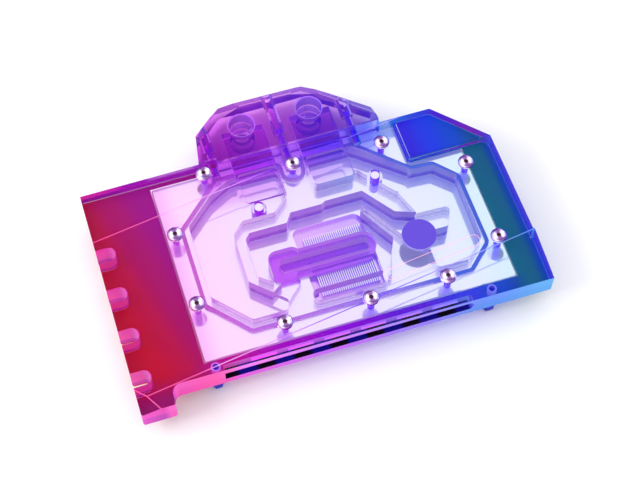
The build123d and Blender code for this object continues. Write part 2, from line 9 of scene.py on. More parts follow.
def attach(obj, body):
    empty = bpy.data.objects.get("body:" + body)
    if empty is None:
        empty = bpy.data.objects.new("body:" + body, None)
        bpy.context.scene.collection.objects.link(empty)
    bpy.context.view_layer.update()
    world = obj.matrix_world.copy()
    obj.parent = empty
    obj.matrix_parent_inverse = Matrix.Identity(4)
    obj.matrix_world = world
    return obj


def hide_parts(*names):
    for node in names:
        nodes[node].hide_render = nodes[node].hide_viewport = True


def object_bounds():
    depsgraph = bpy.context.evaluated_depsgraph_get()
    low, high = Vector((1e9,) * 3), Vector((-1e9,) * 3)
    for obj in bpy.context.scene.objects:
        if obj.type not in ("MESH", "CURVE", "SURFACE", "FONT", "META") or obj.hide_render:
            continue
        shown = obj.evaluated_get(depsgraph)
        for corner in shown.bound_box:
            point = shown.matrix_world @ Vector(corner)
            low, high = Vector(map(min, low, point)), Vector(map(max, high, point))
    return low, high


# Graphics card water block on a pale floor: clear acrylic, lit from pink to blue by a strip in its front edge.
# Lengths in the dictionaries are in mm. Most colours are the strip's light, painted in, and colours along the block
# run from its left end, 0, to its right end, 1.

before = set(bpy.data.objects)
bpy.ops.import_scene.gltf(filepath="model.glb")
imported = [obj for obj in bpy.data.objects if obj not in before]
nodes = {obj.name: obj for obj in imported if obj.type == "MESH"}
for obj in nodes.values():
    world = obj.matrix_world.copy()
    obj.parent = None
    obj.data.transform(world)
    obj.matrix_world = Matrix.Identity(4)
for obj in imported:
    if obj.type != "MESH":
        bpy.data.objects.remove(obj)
cadBox = [list(corner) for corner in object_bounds()]
mm = 0.001
collection = bpy.context.scene.collection


def linear(hexColour):
    # sRGB hex to linear light
    parts = [int(hexColour[i:i + 2], 16) / 255 for i in (1, 3, 5)]
    return [p / 12.92 if p <= 0.04045 else ((p + 0.055) / 1.055) ** 2.4 for p in parts] + [1.0]


def addNode(tree, kind, inputs=None, **settings):
    # an input is a value, or the output of another node to link
    node = tree.nodes.new(kind)
    for key, value in settings.items():
        setattr(node, key, value)
    for key, value in (inputs or {}).items():
        if isinstance(value, bpy.types.NodeSocket):
            tree.links.new(value, node.inputs[key])
        else:
            node.inputs[key].default_value = value
    return node


def startMaterial(name):
    material = bpy.data.materials.new(name)
    material.use_nodes = True
    material.node_tree.nodes.clear()
    return material, material.node_tree


def finishMaterial(tree, shader):
    addNode(tree, "ShaderNodeOutputMaterial", {"Surface": shader.outputs[0]})


def bearings(tree):
    # the place in mm, the share of the way from the left end to the right end, and the face's own normal
    coordinates = addNode(tree, "ShaderNodeTexCoord").outputs
    inMm = addNode(tree, "ShaderNodeVectorMath", {0: coordinates["Object"], "Scale": 1 / mm}, operation="SCALE")
    place = addNode(tree, "ShaderNodeSeparateXYZ", {0: inMm.outputs[0]}).outputs
    normal = addNode(tree, "ShaderNodeSeparateXYZ", {0: coordinates["Normal"]}).outputs
    along = addNode(tree, "ShaderNodeMapRange", {
        "Value": place["X"], "From Min": cadBox[0][0] / mm, "From Max": cadBox[1][0] / mm}).outputs["Result"]
    return place, along, normal


def colouredBy(tree, factor, stops):
    ramp = addNode(tree, "ShaderNodeValToRGB", {"Fac": factor})
    ramp.color_ramp.interpolation = "EASE"
    elements = ramp.color_ramp.elements
    while len(elements) < len(stops):
        elements.new(0.5)
    for element, (place, hexColour) in zip(elements, stops):
        element.position = place
        element.color = linear(hexColour)
    return ramp.outputs["Color"]


def zone(tree, *edges):
    # a soft-edged part of the block. Each edge is a socket, with its values where the part starts
    # and where it is full.
    inside = None
    for socket, (start, full) in edges:
        share = addNode(tree, "ShaderNodeMapRange", {
            "Value": socket, "From Min": start, "From Max": full},
            interpolation_type="SMOOTHSTEP").outputs["Result"]
        if inside is not None:
            share = addNode(tree, "ShaderNodeMath", {0: inside, 1: share}, operation="MULTIPLY").outputs["Value"]
        inside = share
    return inside


def painted(tree, colour, *layers):
    # each layer is a colour and the share of it that covers what is under it
    for over, share in layers:
        colour = addNode(tree, "ShaderNodeMix", {"Factor": share, "A": colour, "B": over},
                         data_type="RGBA").outputs["Result"]
    return colour


def grainRelief(tree, grain=0.833, strength=0.05, depth=0.02):
    # the real grain is some hundredths of a millimetre, so it is drawn about a millimetre wide to show
    coordinates = addNode(tree, "ShaderNodeTexCoord").outputs["Object"]
    pattern = addNode(tree, "ShaderNodeTexNoise", {"Vector": coordinates, "Scale": 1 / (grain * mm), "Detail": 3.0})
    return addNode(tree, "ShaderNodeBump", {
        "Height": pattern.outputs["Fac"], "Strength": strength, "Distance": depth * mm}).outputs["Normal"]


def setMaterial(obj, material):
    obj.data.materials.clear()
    obj.data.materials.append(material)


meshing = {"weld": 0.002, "flatAngle": 0.5, "rayStart": 0.05}


def wholeFaces(nodeName):
    # a node's mesh with its triangles joined back into whole faces
    mesh = bmesh.new()
    mesh.from_mesh(nodes[nodeName].data)
    bmesh.ops.remove_doubles(mesh, verts=mesh.verts, dist=meshing["weld"] * mm)
    flat = math.radians(meshing["flatAngle"])
    bmesh.ops.dissolve_limit(mesh, angle_limit=flat, verts=mesh.verts, edges=mesh.edges)
    return mesh


def facesOut(face, tree):
    # nothing of the piece stands in front of the face
    start = face.calc_center_median() + face.normal * meshing["rayStart"] * mm
    return tree.ray_cast(start, face.normal)[0] is None


def bevelledPiece(nodeName, name, settings, kinds, kindOf):
    # faces sorted into kinds of surface, and the sharp edges above a level broken
    piece = bpy.data.objects.new(name, nodes[nodeName].data.copy())
    collection.objects.link(piece)
    piece.data.materials.clear()
    mesh = wholeFaces(nodeName)
    tree = BVHTree.FromBMesh(mesh)
    for face in mesh.faces:
        face.smooth = False
        face.material_index = kinds.index(kindOf(face, tree))
    weights = mesh.edges.layers.float.new("bevel_weight_edge")
    for edge in mesh.edges:
        if len(edge.link_faces) == 2 and min(v.co.z for v in edge.verts) > settings["bevelAbove"] * mm:
            edge[weights] = 1.0 if edge.calc_face_angle() > math.radians(settings["sharp"]) else 0.0
    mesh.to_mesh(piece.data)
    mesh.free()
    edges = piece.modifiers.new("bevel", "BEVEL")
    edges.width = settings["bevel"] * mm
    edges.segments = 2
    edges.limit_method = "WEIGHT"
    edges.use_clamp_overlap = True
    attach(piece, "root")
    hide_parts(nodeName)
    return piece


def meshPiece(name, vertices, faces, material, slot, replaced=None):
    # vertices in mm
    mesh = bpy.data.meshes.new(name)
    mesh.from_pydata([[v * mm for v in vertex] for vertex in vertices], [], faces)
    mesh.materials.append(material)
    piece = bpy.data.objects.new(name, mesh)
    collection.objects.link(piece)
    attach(piece, "root")
    if replaced:
        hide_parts(replaced)


def turned(profile, centres, sides=48):
    # rings of (radius, height) turned about each centre's own upright axis
    vertices, faces = [], []
    for x, y in centres:
        base = len(vertices)
        for radius, height in profile:
            for i in range(sides):
                angle = 2 * math.pi * i / sides
                vertices.append((x + radius * math.cos(angle), y + radius * math.sin(angle), height))
        for ring in range(len(profile) - 1):
            for i in range(sides):
                a, b = base + ring * sides + i, base + ring * sides + (i + 1) % sides
                faces.append((a, b, b + sides, a + sides))
    return vertices, faces


# Cover: cast acrylic, clear on its polished flats. Its sheen is damped, since an even white dome would lay
# a veil over the films under it.
cover = {
    "ior": 1.49,
    "polish": 0.01,
    "sheen": "#584c70",
    "colours": [(0.0, "#fffbff"), (1.0, "#fbfbff")],
    "bevel": 0.28,
    "bevelAbove": 16.5,
    "sharp": 16.0,
    # the terminal's violet light, painted as a glow into the cover along its seat
    "paintedSeatGlow": {"left": (-46.0, -38.0), "right": (56.0, 46.0), "back": (25.0, 38.0), "share": 0.9,
              "colours": [(0.3, "#ec90f8"), (0.5, "#e09cfc"), (0.64, "#c09cfc"), (0.74, "#a0b0fc")]},
}
# Where its walls differ: places, radii and levels, and how upright a face's normal is
walls = {
    "screws": ((-63.65, 9.9), (-63.65, -29.6), (85.1, 6.0), (85.1, -38.1), (-26.85, -51.4), (15.7, -51.4),
               (54.3, -51.4), (-40.95, 39.4), (49.15, 29.9), (2.95, 31.6)),
    "pins": ((-20.2, 13.2), (40.1, 13.4)),
    "screwHole": 2.2,
    "washerSeat": 4.3,
    "washerLevel": 22.55,
    "pinHole": 2.6,
    "pinBoss": 4.2,
    "level": 0.9,
    "sloping": 0.6,
    "upright": 0.3,
    "stripFloor": {"x": (-61.0, 63.0), "front": -62.6, "z": (13.5, 14.5)},
    "terminalSeat": {"x": (-33.0, 53.0), "back": 42.5},
}
coverKinds = ("polished", "outer", "milled", "drilled", "stripFloor", "terminalSeat")


def near(x, y, places, radius):
    return any(math.hypot(x - px, y - py) < radius for px, py in places)


def atTerminalSeat(x, y):
    left, right = walls["terminalSeat"]["x"]
    return left < x < right and y > walls["terminalSeat"]["back"]


def coverKind(face, tree):
    x, y, z = face.calc_center_median() / mm
    (left, right), (low, high) = walls["stripFloor"]["x"], walls["stripFloor"]["z"]
    onStripFloor = left < x < right and y < walls["stripFloor"]["front"] and low < z < high
    # the floor of the strip's slot takes the tape material, as painted shade under the strip
    if face.normal.z > walls["level"] and onStripFloor:
        return "stripFloor"
    if abs(face.normal.z) > walls["sloping"]:
        return "polished"
    if near(x, y, walls["screws"], walls["screwHole"]) and z < walls["washerLevel"]:
        return "drilled"
    if near(x, y, walls["pins"], walls["pinHole"]):
        return "drilled"
    if near(x, y, walls["screws"], walls["washerSeat"]) and z > walls["washerLevel"]:
        return "polished"
    if near(x, y, walls["pins"], walls["pinBoss"]):
        return "polished"
    if atTerminalSeat(x, y):
        return "terminalSeat"
    return "outer" if facesOut(face, tree) else "milled"


# Machined walls: part see-through, part glowing with the strip's light, painted as colour and emission, with painted
# colours of their own for upper and lower parts and back walls. "split" is where the lower part's colours give way
# to the upper part's, and "clear" is the share that is seen through.
outerWall = {
    "clear": 0.12, "glow": 0.5, "base": 0.5, "roughness": 0.12, "split": (15.0, 18.0), "backFrom": (12.0, 19.0),
    "high": [(0.0, "#f034c8"), (0.05, "#e81cb4"), (0.07, "#f850c4"), (0.18, "#ff4cb0"), (0.26, "#f878f4"),
             (0.46, "#d078fc"), (0.66, "#a084fa"), (0.84, "#5a8cf8"), (1.0, "#4ab0f4")],
    "low": [(0.0, "#d820c0"), (0.05, "#b80cb0"), (0.07, "#f444bc"), (0.18, "#ff48ac"), (0.26, "#e850e4"),
            (0.46, "#c45cf4"), (0.66, "#9470f4"), (0.84, "#4a8cf0"), (1.0, "#48a8f0")],
    "backHigh": [(0.0, "#f02cc4"), (0.09, "#e020d4"), (0.11, "#b40ad0"), (0.3, "#a40cd0"), (0.76, "#2c90f4"),
                 (0.86, "#3850f0"), (0.9, "#5a18e0"), (0.96, "#8c08cc"), (1.0, "#5838f0")],
    "backLow": [(0.0, "#9a08a8"), (0.09, "#9408b0"), (0.11, "#ac08c0"), (0.3, "#a00ac8"), (0.76, "#1c78e8"),
                (0.86, "#2c3ce4"), (0.9, "#5a18e0"), (0.96, "#8408c4"), (1.0, "#2a3ce8")],
}
channelWall = {
    "clear": 0.3, "backClear": 0.72, "glow": 0.5, "base": 0.4, "roughness": 0.1, "split": (12.5, 14.5),
    "high": [(0.0, "#ff44b4"), (0.1, "#ec50d8"), (0.2, "#dc6cf0"), (0.34, "#d680f8"), (0.5, "#c886f8"),
             (0.68, "#ac8ef8"), (0.84, "#9098f8"), (1.0, "#7a50f4")],
    "low": [(0.0, "#d010b0"), (0.1, "#c820c8"), (0.2, "#b430e0"), (0.34, "#b044ea"), (0.5, "#9c48ec"),
            (0.68, "#7c50ee"), (0.84, "#6058f0"), (1.0, "#6030ec")],
    "backHigh": [(0.0, "#f060d0"), (0.2, "#e088f4"), (0.4, "#d490f6"), (0.6, "#c896f6"), (0.8, "#a8a4f8"),
                 (1.0, "#90a8f8")],
    "backLow": [(0.0, "#e040c8"), (0.2, "#cc58f0"), (0.4, "#b864f2"), (0.6, "#a468f2"), (0.8, "#7472f2"),
                (1.0, "#6078f4")],
}
seatWall = {
    "clear": 0.55, "glow": 0.6, "base": 0.4, "roughness": 0.1, "split": (12.0, 20.0),
    "high": [(0.3, "#c040f0"), (0.5, "#a040f8"), (0.64, "#8448f8"), (0.76, "#4c60f8")],
    "low": [(0.3, "#a82ce8"), (0.5, "#8c2cf4"), (0.64, "#6c34f4"), (0.76, "#3c4cf4")],
}
drilledWall = {
    "clear": 0.0, "glow": 0.85, "base": 0.34, "roughness": 0.4, "split": (10.5, 13.5),
    "high": [(0.15, "#a810c8"), (0.35, "#9a18e0"), (0.6, "#7420ea"), (0.85, "#5a2cec")],
    "low": [(0.15, "#b81cd0"), (0.35, "#9420e0"), (0.6, "#5c1ce8"), (0.85, "#3c2ce8")],
}


def polishedAcrylic(name, settings):
    material, tree = startMaterial(name)
    place, along, normal = bearings(tree)
    body = colouredBy(tree, along, settings["colours"])
    if "paintedSeatGlow" in settings:
        paintedSeatGlow = settings["paintedSeatGlow"]
        # painted glow of the terminal's light along its seat
        share = addNode(tree, "ShaderNodeMath", {
            0: zone(tree, (place["X"], paintedSeatGlow["left"]), (place["X"], paintedSeatGlow["right"]), (place["Y"], paintedSeatGlow["back"])),
            1: paintedSeatGlow["share"]}, operation="MULTIPLY").outputs["Value"]
        body = painted(tree, body, (colouredBy(tree, along, paintedSeatGlow["colours"]), share))
    finishMaterial(tree, addNode(tree, "ShaderNodeBsdfPrincipled", {
        "Base Color": body, "Roughness": settings["polish"], "IOR": settings["ior"], "Transmission Weight": 1.0,
        "Specular Tint": linear(settings["sheen"])}))
    return material


# how far a face's normal has to turn to count as facing one way
facing = {"back": (-0.3, 0.1), "side": (0.6, 0.9), "finSide": (0.5, 0.9), "up": (0.5, 0.9), "levelUp": (0.9, 0.99)}
wallGloss = 0.2


def litAcrylic(name, settings):
    material, tree = startMaterial(name)
    place, along, normal = bearings(tree)
    upper = zone(tree, (place["Z"], settings["split"]))
    colour = painted(tree, colouredBy(tree, along, settings["low"]),
                     (colouredBy(tree, along, settings["high"]), upper))
    if "backFrom" in settings:
        # seen through the block a wall turns its normal round, so an outer wall goes by its place
        sideways = addNode(tree, "ShaderNodeMath", {0: normal["X"]}, operation="ABSOLUTE").outputs["Value"]
        atBack = addNode(tree, "ShaderNodeMath", {
            0: zone(tree, (place["Y"], settings["backFrom"])), 1: zone(tree, (sideways, facing["side"]))},
            operation="MAXIMUM").outputs["Value"]
    elif "backHigh" in settings:
        atBack = zone(tree, (normal["Y"], facing["back"]))
    if "backHigh" in settings:
        back = painted(tree, colouredBy(tree, along, settings["backLow"]),
                       (colouredBy(tree, along, settings["backHigh"]), upper))
        colour = painted(tree, colour, (back, atBack))
    seeThrough = addNode(tree, "ShaderNodeBsdfPrincipled", {
        "Base Color": colour, "Roughness": settings["roughness"], "IOR": cover["ior"], "Transmission Weight": 1.0,
        "Specular Tint": linear(cover["sheen"])})
    base = addNode(tree, "ShaderNodeHueSaturation", {"Color": colour, "Value": settings["base"]})
    scattering = addNode(tree, "ShaderNodeBsdfPrincipled", {
        "Base Color": base.outputs["Color"], "Roughness": settings["roughness"], "IOR": cover["ior"],
        "Specular IOR Level": wallGloss, "Emission Color": colour, "Emission Strength": settings["glow"]})
    share = 1 - settings["clear"]
    if "backClear" in settings:
        share = addNode(tree, "ShaderNodeMapRange", {
            "Value": atBack, "To Min": share, "To Max": 1 - settings["backClear"]},
            interpolation_type="SMOOTHSTEP").outputs["Result"]
    finishMaterial(tree, addNode(tree, "ShaderNodeMixShader", {
        0: share, 1: seeThrough.outputs[0], 2: scattering.outputs[0]}))
    return material


# Light strip: matt black tape, with painted navy pools of light where the windows shine on it. On the floor of the
# cover's strip slot the same material is painted shade under the strip.
tape = {"pitch": 17.9, "colours": [(0.2, "#09020f"), (0.8, "#0e0670")], "roughness": 0.5, "gloss": 0.1, "lit": 0.5}
tapeLightAndShadeMaterial, tree = startMaterial("black_tape_painted_light_and_shade")
place, along, normal = bearings(tree)
turns = addNode(tree, "ShaderNodeMath", {0: place["X"], 1: 2 * math.pi / tape["pitch"]}, operation="MULTIPLY")
wave = addNode(tree, "ShaderNodeMath", {0: turns.outputs["Value"]}, operation="SINE").outputs["Value"]
tapeColour = colouredBy(tree, zone(tree, (wave, (-1.0, 1.0))), tape["colours"])
finishMaterial(tree, addNode(tree, "ShaderNodeBsdfPrincipled", {
    "Base Color": tapeColour, "Roughness": tape["roughness"], "Specular IOR Level": tape["gloss"],
    "Emission Color": tapeColour, "Emission Strength": tape["lit"]}))
setMaterial(nodes["led_strip"], tapeLightAndShadeMaterial)

print("acrylic cover")
coverPiece = bevelledPiece("cover", "clear_cover", cover, coverKinds, coverKind)
for material in (polishedAcrylic("cast_acrylic_polished", cover), litAcrylic("acrylic_edge_lit", outerWall),
                 litAcrylic("acrylic_milled", channelWall), litAcrylic("acrylic_drilled", drilledWall),
                 tapeLightAndShadeMaterial, litAcrylic("acrylic_seat", seatWall)):
    coverPiece.data.materials.append(material)

# Terminal: cast acrylic too, full of the strip's violet light, painted as a violet tint and glow
terminal = {
    "ior": 1.49,
    "polish": 0.01,
    "sheen": "#8060b0",
    "colours": [(0.3, "#e052f1"), (0.46, "#f29cff"), (0.62, "#e2a0ff"), (0.76, "#b4a8fa")],
    "bevel": 0.3,
    "bevelAbove": 2.0,
    "sharp": 16.0,
}
terminalWall = {
    "clear": 0.6, "glow": 0.46, "base": 0.4, "roughness": 0.1, "split": (6.0, 16.0),
    "high": [(0.3, "#c04cdc"), (0.46, "#c46cf4"), (0.62, "#ac74f8"), (0.76, "#7c70f8")],
    "low": [(0.3, "#a41cc4"), (0.46, "#a42ce4"), (0.62, "#8434f0"), (0.76, "#5c44f4")],
    "backHigh": [(0.3, "#b444d4"), (0.46, "#b45cf0"), (0.62, "#9860f4"), (0.76, "#6c60f4")],
    "backLow": [(0.3, "#9818bc"), (0.46, "#9824dc"), (0.62, "#782cec"), (0.76, "#503cf0")],
}
terminalKinds = ("polished", "milled")


def terminalKind(face, tree):
    return "polished" if abs(face.normal.z) > walls["sloping"] else "milled"


print("terminal")
terminalPiece = bevelledPiece("terminal", "acrylic_terminal", terminal, terminalKinds, terminalKind)
terminalMilled = litAcrylic("acrylic_painted_violet_light_milled", terminalWall)
for material in (polishedAcrylic("acrylic_painted_violet_light_polished", terminal), terminalMilled):
    terminalPiece.data.materials.append(material)

# G1/4 threads in the ports: rings at the thread's pitch, each flank a share of it
threads = {"centres": ((-15.2, 60.4), (20.5, 60.4)), "radius": 6.6, "pitch": 1.337, "depth": 0.45, "turns": 4,
           "flankShare": 0.42, "sides": 40}


def threadRings(name, top):
    radius, flank = threads["radius"], threads["pitch"] * threads["flankShare"]
    vertices, faces = [], []
    for turn in range(threads["turns"]):
        z = top - threads["pitch"] * turn
        ring = ((radius, z), (radius - threads["depth"], z - flank), (radius, z - 2 * flank), (radius, z))
        ringVertices, ringFaces = turned(ring, threads["centres"], threads["sides"])
        base = len(vertices)
        vertices += ringVertices
        faces += [tuple(base + i for i in face) for face in ringFaces]
    meshPiece(name, vertices, faces, terminalMilled, "dark_acrylic")


threadRings("port_threads_top", 24.0)
threadRings("port_threads_bottom", 7.6)

# Cold plate: bright nickel plating on lapped copper, almost a mirror, with a broad haze. Its colour is the
# painted light of the strip above it, and the gaps between the fins have painted shade.
nickel = {
    "colours": [(0.16, "#f4b4f4"), (0.23, "#f6d8fb"), (0.45, "#ece0fa"), (0.8, "#e6ecfc"), (0.95, "#d8f0fb")],
    "sharp": 0.06,
    "haze": 0.4,
    "hazeShare": 0.3,
    "lit": 0.14,
    "grain": 1.11,
    "relief": 0.04,
    "fins": {"left": (-8.5, -7.5), "right": (28.5, 27.5), "sunk": (9.6, 9.0),
             "sides": [(0.46, "#a05ce6"), (0.64, "#8c60e8")], "floor": [(0.46, "#dcb0f2"), (0.64, "#ccaef6")]},
}
# Jet plate: rolled stainless sheet, duller, with the strip's violet light painted on it under the jet island
jetSheet = {
    "colours": [(0.38, "#c060f0"), (0.5, "#bc68f4"), (0.64, "#ac70f4")],
    "sharp": 0.2,
    "haze": 0.45,
    "hazeShare": 0.6,
    "lit": 0.2,
    "grain": 1.43,
    "relief": 0.04,
}


def hazyMetal(name, settings):
    material, tree = startMaterial(name)
    place, along, normal = bearings(tree)
    colour = colouredBy(tree, along, settings["colours"])
    if "fins" in settings:
        fins = settings["fins"]
        width = (place["X"], fins["left"]), (place["X"], fins["right"])
        sideways = addNode(tree, "ShaderNodeMath", {0: normal["X"]}, operation="ABSOLUTE").outputs["Value"]
        colour = painted(
            tree, colour,
            (colouredBy(tree, along, fins["floor"]), zone(tree, *width, (place["Z"], fins["sunk"]))),
            (colouredBy(tree, along, fins["sides"]), zone(tree, *width, (sideways, facing["finSide"]))))
    finish = {"Base Color": colour, "Metallic": 1.0, "Emission Color": colour, "Emission Strength": settings["lit"],
              "Normal": grainRelief(tree, settings["grain"], settings["relief"])}
    mirror = addNode(tree, "ShaderNodeBsdfPrincipled", dict(finish, Roughness=settings["sharp"]))
    broad = addNode(tree, "ShaderNodeBsdfPrincipled", dict(finish, Roughness=settings["haze"]))
    finishMaterial(tree, addNode(tree, "ShaderNodeMixShader", {
        0: settings["hazeShare"], 1: mirror.outputs[0], 2: broad.outputs[0]}))
    return material


print("cold plate")
setMaterial(nodes["cold_plate"], hazyMetal("nickel_plated_copper", nickel))
setMaterial(nodes["jet_plate"], hazyMetal("stainless_sheet", jetSheet))

# Backing film: matt film under the cover where the plate doesn't reach. It stands in for the strip's light in the
# clear acrylic there, and its colours are painted light. It hardly mirrors. Its left end goes from crimson at the
# vents to purple at the back and at the plate.
backing = {
    "left": [(0.0, "#c80832"), (0.05, "#c00846"), (0.11, "#b0086e"), (0.19, "#a60892")],
    "front": [(0.14, "#b80c78"), (0.24, "#c408a4"), (0.36, "#b008cc"), (0.5, "#940ce0"), (0.66, "#6820e4"),
              (0.8, "#3c44f0"), (0.87, "#1450d8"), (0.94, "#0a4cb0")],
    "right": [(0.93, "#066c8c"), (0.972, "#06688e"), (0.99, "#0650b4"), (1.0, "#1440d8")],
    "step": [(0.8, "#3428e8"), (0.86, "#1c40f0"), (0.91, "#0a50dc"), (0.96, "#0a58a8")],
    "tab": "#9a0a6c",
    "slope": 0.0013,
    "rightFrom": (20.0, 30.0),
    "stepFrom": (18.8, 19.4),
    "tabFrom": (-56.0, -70.0),
    "frontBand": {"y": (-56.3, -57.0), "left": (-76.0, -64.0), "right": (94.0, 84.0)},
    "roughness": 0.6,
    "gloss": 0.05,
    "base": 0.75,
    "lit": 0.34,
    "grain": 0.833,
    # the folded rim under the cover's lower edges, outside the inner box. It starts a share of its width in.
    "rim": {"width": 0.9, "backWidth": 2.75, "drop": 0.02, "startShare": 0.03,
            "inner": ((-66.0, -62.0), (60.0, 42.0))},
}

print("backing film")
filmMaterial, tree = startMaterial("matt_film_painted_strip_light")
place, along, normal = bearings(tree)
leaning = addNode(tree, "ShaderNodeMath", {0: place["Y"], 1: backing["slope"]}, operation="MULTIPLY")
drift = addNode(tree, "ShaderNodeMath", {0: along, 1: leaning.outputs["Value"]}, operation="ADD").outputs["Value"]
rightEnd = painted(tree, colouredBy(tree, along, backing["right"]),
                   (colouredBy(tree, along, backing["step"]), zone(tree, (place["Y"], backing["stepFrom"]))))
band = backing["frontBand"]
filmColour = painted(
    tree, colouredBy(tree, drift, backing["left"]),
    (linear(backing["tab"]), zone(tree, (place["Y"], backing["tabFrom"]))),
    (rightEnd, zone(tree, (place["X"], backing["rightFrom"]))),
    (colouredBy(tree, along, backing["front"]),
     zone(tree, (place["Y"], band["y"]), (place["X"], band["left"]), (place["X"], band["right"]))))
filmBase = addNode(tree, "ShaderNodeHueSaturation", {"Color": filmColour, "Value": backing["base"]})
finishMaterial(tree, addNode(tree, "ShaderNodeBsdfPrincipled", {
    "Base Color": filmBase.outputs["Color"], "Roughness": backing["roughness"],
    "Specular IOR Level": backing["gloss"], "Emission Color": filmColour, "Emission Strength": backing["lit"],
    "Normal": grainRelief(tree, backing["grain"])}))
setMaterial(nodes["backing_sheet"], filmMaterial)


def filmRim(nodeName, name, settings):
    mesh = wholeFaces(nodeName)
    tree = BVHTree.FromBMesh(mesh)
    (left, front), (right, back) = settings["inner"]
    drop = Vector((0, 0, -settings["drop"]))
    vertices, faces = [], []
    for edge in mesh.edges:
        place = (edge.verts[0].co + edge.verts[1].co) / 2 / mm
        if len(edge.link_faces) != 2 or left < place.x < right and front < place.y < back:
            continue
        under, wall = sorted(edge.link_faces, key=lambda face: face.normal.z)
        middle = wall.calc_center_median() / mm
        if under.normal.z > -walls["level"] or abs(wall.normal.z) > walls["upright"]:
            continue
        if atTerminalSeat(middle.x, middle.y) or not facesOut(wall, tree):
            continue
        atBackLeft = wall.normal.y > walls["level"] and middle.x < 0
        inward = wall.normal * -settings["backWidth" if atBackLeft else "width"]
        base = len(vertices)
        for vertex in edge.verts:
            corner = vertex.co / mm + drop
            vertices += [tuple(corner + inward * settings["startShare"]), tuple(corner + inward)]
        faces.append((base, base + 1, base + 3, base + 2))
    mesh.free()
    meshPiece(name, vertices, faces, filmMaterial, "sheet_graded")


filmRim("cover", "film_rim", backing["rim"])


def litAlong(name, settings):
    # a finish that takes the colour of the light beside it, along the block
    material, tree = startMaterial(name)
    place, along, normal = bearings(tree)
    colour = colouredBy(tree, along, settings["colours"])
    finishMaterial(tree, addNode(tree, "ShaderNodeBsdfPrincipled", {
        "Base Color": colour, "Roughness": settings["roughness"], "Metallic": settings.get("metallic", 0.0),
        "Transmission Weight": settings.get("clear", 0.0), "Emission Color": colour,
        "Emission Strength": settings["lit"], "Normal": grainRelief(tree)}))
    return material


def grained(name, settings):
    # one colour all over, with the fine relief of its making
    material, tree = startMaterial(name)
    finishMaterial(tree, addNode(tree, "ShaderNodeBsdfPrincipled", {
        "Base Color": linear(settings["colour"]), "Roughness": settings["roughness"],
        "Metallic": settings.get("metallic", 0.0), "Emission Color": linear(settings["colour"]),
        "Emission Strength": settings.get("lit", 0.0), "Normal": grainRelief(tree, settings["grain"])}))
    return material


# Seals: moulded rubber, satin, coloured with the strip's light through the cover, painted in
seals = {"colours": [(0.15, "#d058c8"), (0.35, "#c070e0"), (0.6, "#9c80e8"), (0.8, "#4068dc")],
         "roughness": 0.45, "lit": 0.3}
# Inserts: turned brass under nickel, and the terminal's stainless screws beside them, both coloured with painted
# light of the strip
inserts = {"colours": [(0.1, "#e27ae0"), (0.3, "#b03ce8"), (0.55, "#8c3cf0"), (0.75, "#7048f4"), (0.9, "#7a8cf4")],
           "roughness": 0.3, "metallic": 1.0, "lit": 0.12}
# Low standoffs: plain turned brass, warm
standoffs = {"colour": "#c9a063", "roughness": 0.3, "metallic": 1.0, "grain": 0.667}
# Tall front standoffs: dark blue anodised aluminium
blueStandoffs = {"colour": "#2a2cc8", "roughness": 0.35, "metallic": 1.0, "grain": 0.667}

print("seals, inserts and standoffs")
rubber = litAlong("moulded_rubber", seals)
for name in ("main_seal", "terminal_seal_left", "terminal_seal_right"):
    setMaterial(nodes[name], rubber)
platedBrass = litAlong("nickel_plated_brass", inserts)
for name in ("terminal_inserts", "front_inserts"):
    setMaterial(nodes[name], platedBrass)
setMaterial(nodes["terminal_screws"], litAlong("stainless_screw", dict(inserts, lit=0.08)))
brass = grained("turned_brass", standoffs)
for name in ("core_standoffs", "rear_standoffs"):
    setMaterial(nodes[name], brass)
setMaterial(nodes["front_standoffs"], grained("anodised_aluminium", blueStandoffs))

# Locating pins: ground steel, with a painted highlight on top and the strip's light painted on their sides
pins = {"sides": [(0.3, "#a018d8"), (0.5, "#7a30f0"), (0.75, "#3c50f0")], "top": "#f6f0fc", "roughness": 0.35,
        "lit": 0.3}
print("pins")
pinMaterial, tree = startMaterial("ground_steel")
place, along, normal = bearings(tree)
pinColour = painted(tree, colouredBy(tree, along, pins["sides"]),
                    (linear(pins["top"]), zone(tree, (normal["Z"], facing["up"]))))
finishMaterial(tree, addNode(tree, "ShaderNodeBsdfPrincipled", {
    "Base Color": pinColour, "Roughness": pins["roughness"], "Emission Color": pinColour,
    "Emission Strength": pins["lit"]}))
setMaterial(nodes["locating_pins"], pinMaterial)

# Cup washers and countersunk screws, turned: painted highlights in bright and dull wedges round their axis. The
# shafts take the colour of the light beside them, painted in, and the hexagon sockets are painted dark with shade.
fasteners = {
    "washer": ((1.75, 22.66), (3.88, 22.66), (3.94, 22.8), (3.86, 23.5), (3.16, 24.6), (3.02, 24.62), (2.9, 24.3),
               (1.75, 22.9), (1.75, 22.66)),
    "head": ((1.12, 24.48), (2.3, 24.62), (2.68, 24.56), (2.78, 24.3), (1.5, 23.1), (1.5, 23.0)),
    "shaft": ((1.5, 23.05), (1.5, 6.4), (1.2, 6.3)),
    # the socket's mouth lies just under the head's inner edge
    "socket": ((1.31, 24.46), (1.31, 23.16), (0.02, 22.96)),
    "socketSides": 6,
    "wedges": {"colours": [(0.0, "#9266ac"), (0.2, "#bc9cd4"), (0.42, "#e4d0f4"), (0.72, "#fcf4ff")],
               "roughness": 0.16, "lit": 0.06, "pairs": 2.0, "washerTurn": 1.0, "headTurn": 1.6},
    "shaftSteel": {"colours": [(0.15, "#a808c0"), (0.35, "#9010d8"), (0.6, "#7418e8"), (0.85, "#4a2cf0")],
                   "roughness": 0.35, "metallic": 0.6, "lit": 0.35},
    "socketShade": {"colour": "#4c0a3c", "roughness": 0.4, "lit": 0.2, "grain": 0.667},
}
print("fasteners")


